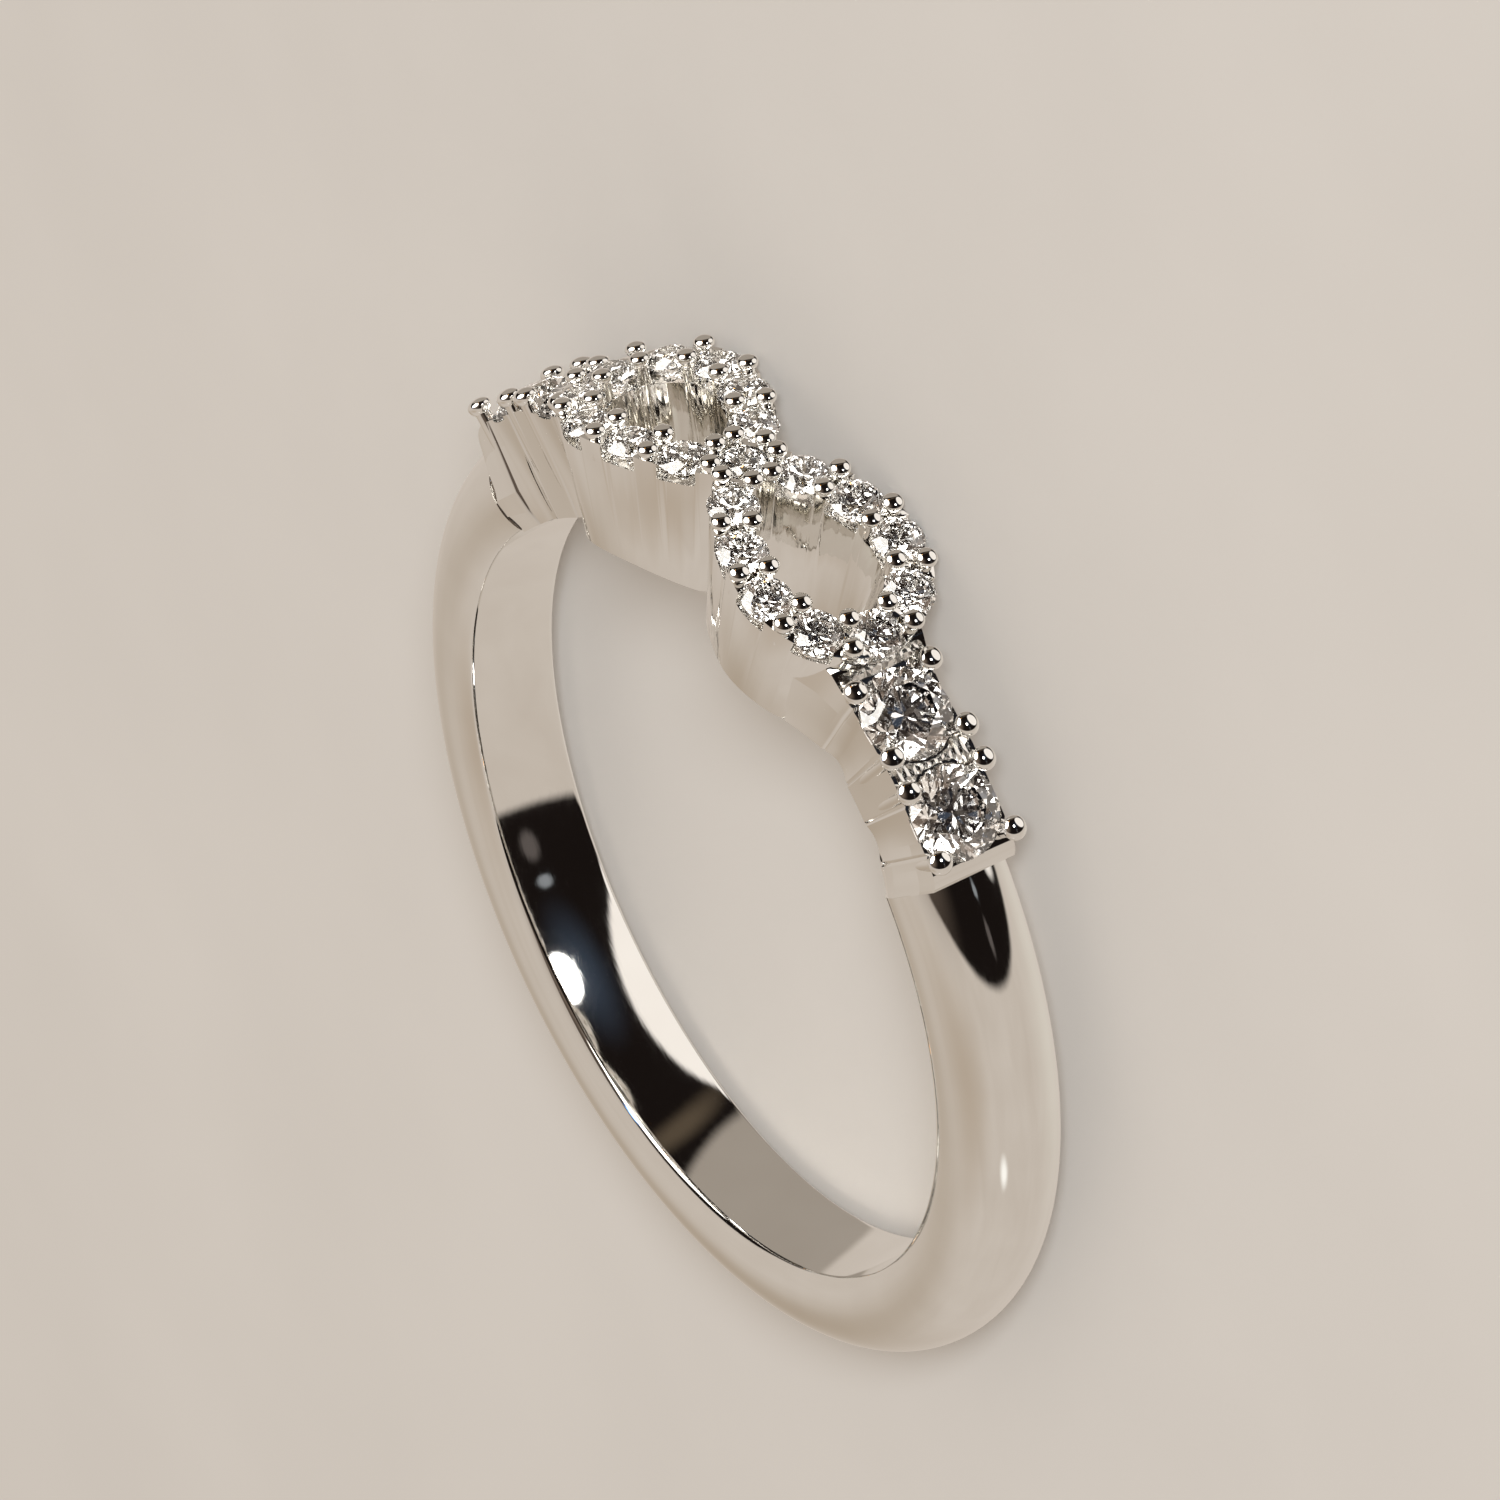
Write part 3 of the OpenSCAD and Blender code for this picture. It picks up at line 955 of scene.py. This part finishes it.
def paint_patch(tree, way, below, patch):
    turn = axes(patch.azimuth, patch.elevation)
    size = (math.sin(math.radians(patch.wide)), math.sin(math.radians(patch.tall)), 1.0)
    near = add(tree, "ShaderNodeMapping", {"vector_type": "TEXTURE"}, Vector=way,
               Location=turn.col[2][:], Rotation=turn.to_euler()[:], Scale=size)
    ball = add(tree, "ShaderNodeTexGradient", {"gradient_type": "SPHERICAL"}, Vector=near.outputs[0])
    share = add(tree, "ShaderNodeMapRange", {"interpolation_type": "SMOOTHSTEP"},
                Value=ball.outputs["Fac"], From_Min=0.0, From_Max=patch.soft)
    shade = [v * patch.gain for v in linear(patch.colour)[:3]] + [1.0]
    mix = add(tree, "ShaderNodeMix", {"data_type": "RGBA"}, Factor=share.outputs[0], _6=below, _7=shade)
    return mix.outputs[2]


def make_room():
    world = bpy.data.worlds.new("studio")
    world.use_nodes = True
    tree = world.node_tree
    tree.nodes.clear()
    way = add(tree, "ShaderNodeTexCoord").outputs["Generated"]
    above = add(tree, "ShaderNodeVectorMath", {"operation": "DOT_PRODUCT"}, _0=way,
                _1=(LAID @ Vector((-0.05, 1.0, -0.07)).normalized())[:])
    share = add(tree, "ShaderNodeMapRange", {"interpolation_type": "SMOOTHSTEP"},
                Value=above.outputs["Value"], From_Min=0.0, From_Max=0.06)
    veins = add(tree, "ShaderNodeTexNoise", Vector=way, Scale=2.6, Detail=3.0, Roughness=0.5,
                Distortion=0.6)
    marble = add(tree, "ShaderNodeMix", {"data_type": "RGBA"}, Factor=veins.outputs["Fac"],
                 _6=linear("#C9BDB1"), _7=linear("#D9CFC5"))
    colour = add(tree, "ShaderNodeMix", {"data_type": "RGBA"}, Factor=share.outputs[0],
                 _6=marble.outputs[2], _7=linear("#191412")).outputs[2]
    for patch in PATCHES:
        colour = paint_patch(tree, way, colour, patch)
    path = add(tree, "ShaderNodeLightPath")
    through = add(tree, "ShaderNodeMath", {"operation": "MULTIPLY_ADD"},
                  _0=path.outputs["Is Transmission Ray"], _1=through_gain, _2=1.0)
    room = add(tree, "ShaderNodeBackground", Color=colour, Strength=through.outputs[0])
    plain = add(tree, "ShaderNodeBackground", Color=linear("#E2D9CE"), Strength=0.90)
    seen = add(tree, "ShaderNodeMath", {"operation": "MAXIMUM"}, _0=path.outputs["Is Camera Ray"],
               _1=path.outputs["Is Diffuse Ray"])
    mix = add(tree, "ShaderNodeMixShader", _0=seen.outputs[0], _1=room.outputs[0], _2=plain.outputs[0])
    output = add(tree, "ShaderNodeOutputWorld")
    tree.links.new(mix.outputs[0], output.inputs["Surface"])
    world.cycles.sampling_method = "NONE"
    bpy.context.scene.world = world


make_room()
print("the room has", len(PATCHES), "patches")

# %% [markdown]
# ## The key lamp
# A wide panel gives the table its soft shadow. The mirror and the stones
# don't show it, because the room already holds their lamps.

# %% The key lamp
def soft_key():
    towards = axes(36, 24).col[2]
    distance = 0.9
    size = 0.24
    brightness = 0.95
    light = bpy.data.lights.new("soft_key", "AREA")
    light.shape = "DISK"
    light.size = size
    light.energy = brightness * math.pi * math.pi * distance * distance
    light.color = (0.83, 0.92, 1.0)
    item = bpy.data.objects.new("soft_key", light)
    item.location = towards * distance
    item.rotation_mode = "QUATERNION"
    item.rotation_quaternion = (-towards).to_track_quat("-Z", "Y")
    item.visible_camera = False
    item.visible_glossy = False
    item.visible_transmission = False
    bpy.context.scene.collection.objects.link(item)


soft_key()
print("lamps:", len(bpy.data.lights))

# %% [markdown]
# ## The camera
# A long lens keeps the ring's proportions: it stands a quarter of a metre
# away, above the ring's plane and off the near shoulder, and is rolled so
# that the head stands upright in the picture.

# %% Set the camera
def make_camera():
    azimuth = math.radians(41.269)
    elevation = math.radians(24.720)
    roll = math.radians(114.909)
    aim = LAID @ Vector((-1.43, 2.009, -1.231)) * MM
    distance = 250.62 * MM
    data = bpy.data.cameras.new("camera")
    data.lens = 288
    data.sensor_width = 36
    data.clip_start = 0.01
    data.clip_end = 20
    item = bpy.data.objects.new("camera", data)
    back = Vector((math.sin(azimuth) * math.cos(elevation), math.cos(azimuth) * math.cos(elevation),
                   math.sin(elevation)))
    turn = (-back).to_track_quat("-Z", "Y").to_matrix() @ Matrix.Rotation(-roll, 3, "Z")
    item.location = aim + (LAID @ back) * distance
    item.rotation_mode = "QUATERNION"
    item.rotation_quaternion = (LAID.to_3x3() @ turn).to_quaternion()
    bpy.context.scene.collection.objects.link(item)
    bpy.context.scene.camera = item


make_camera()
bpy.context.scene.view_settings.view_transform = "Standard"
bpy.context.scene.cycles.max_bounces = 24
bpy.context.scene.cycles.transmission_bounces = 24
bpy.context.scene.cycles.glossy_bounces = 12
print("camera at", [round(x / MM, 1) for x in bpy.context.scene.camera.location], "mm")

# %% [markdown]
# ## Sizes
# The last cell prints the imported box and the dressed ring's box side by side, so that they can be
# compared.

# %% Print both boxes
low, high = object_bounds()
boxes = {"cad": [list(cad_low), list(cad_high)], "visual": [list(low), list(high)]}
for name, box in boxes.items():
    print(name, "box in mm:", [[round(x / MM, 3) for x in corner] for corner in box])
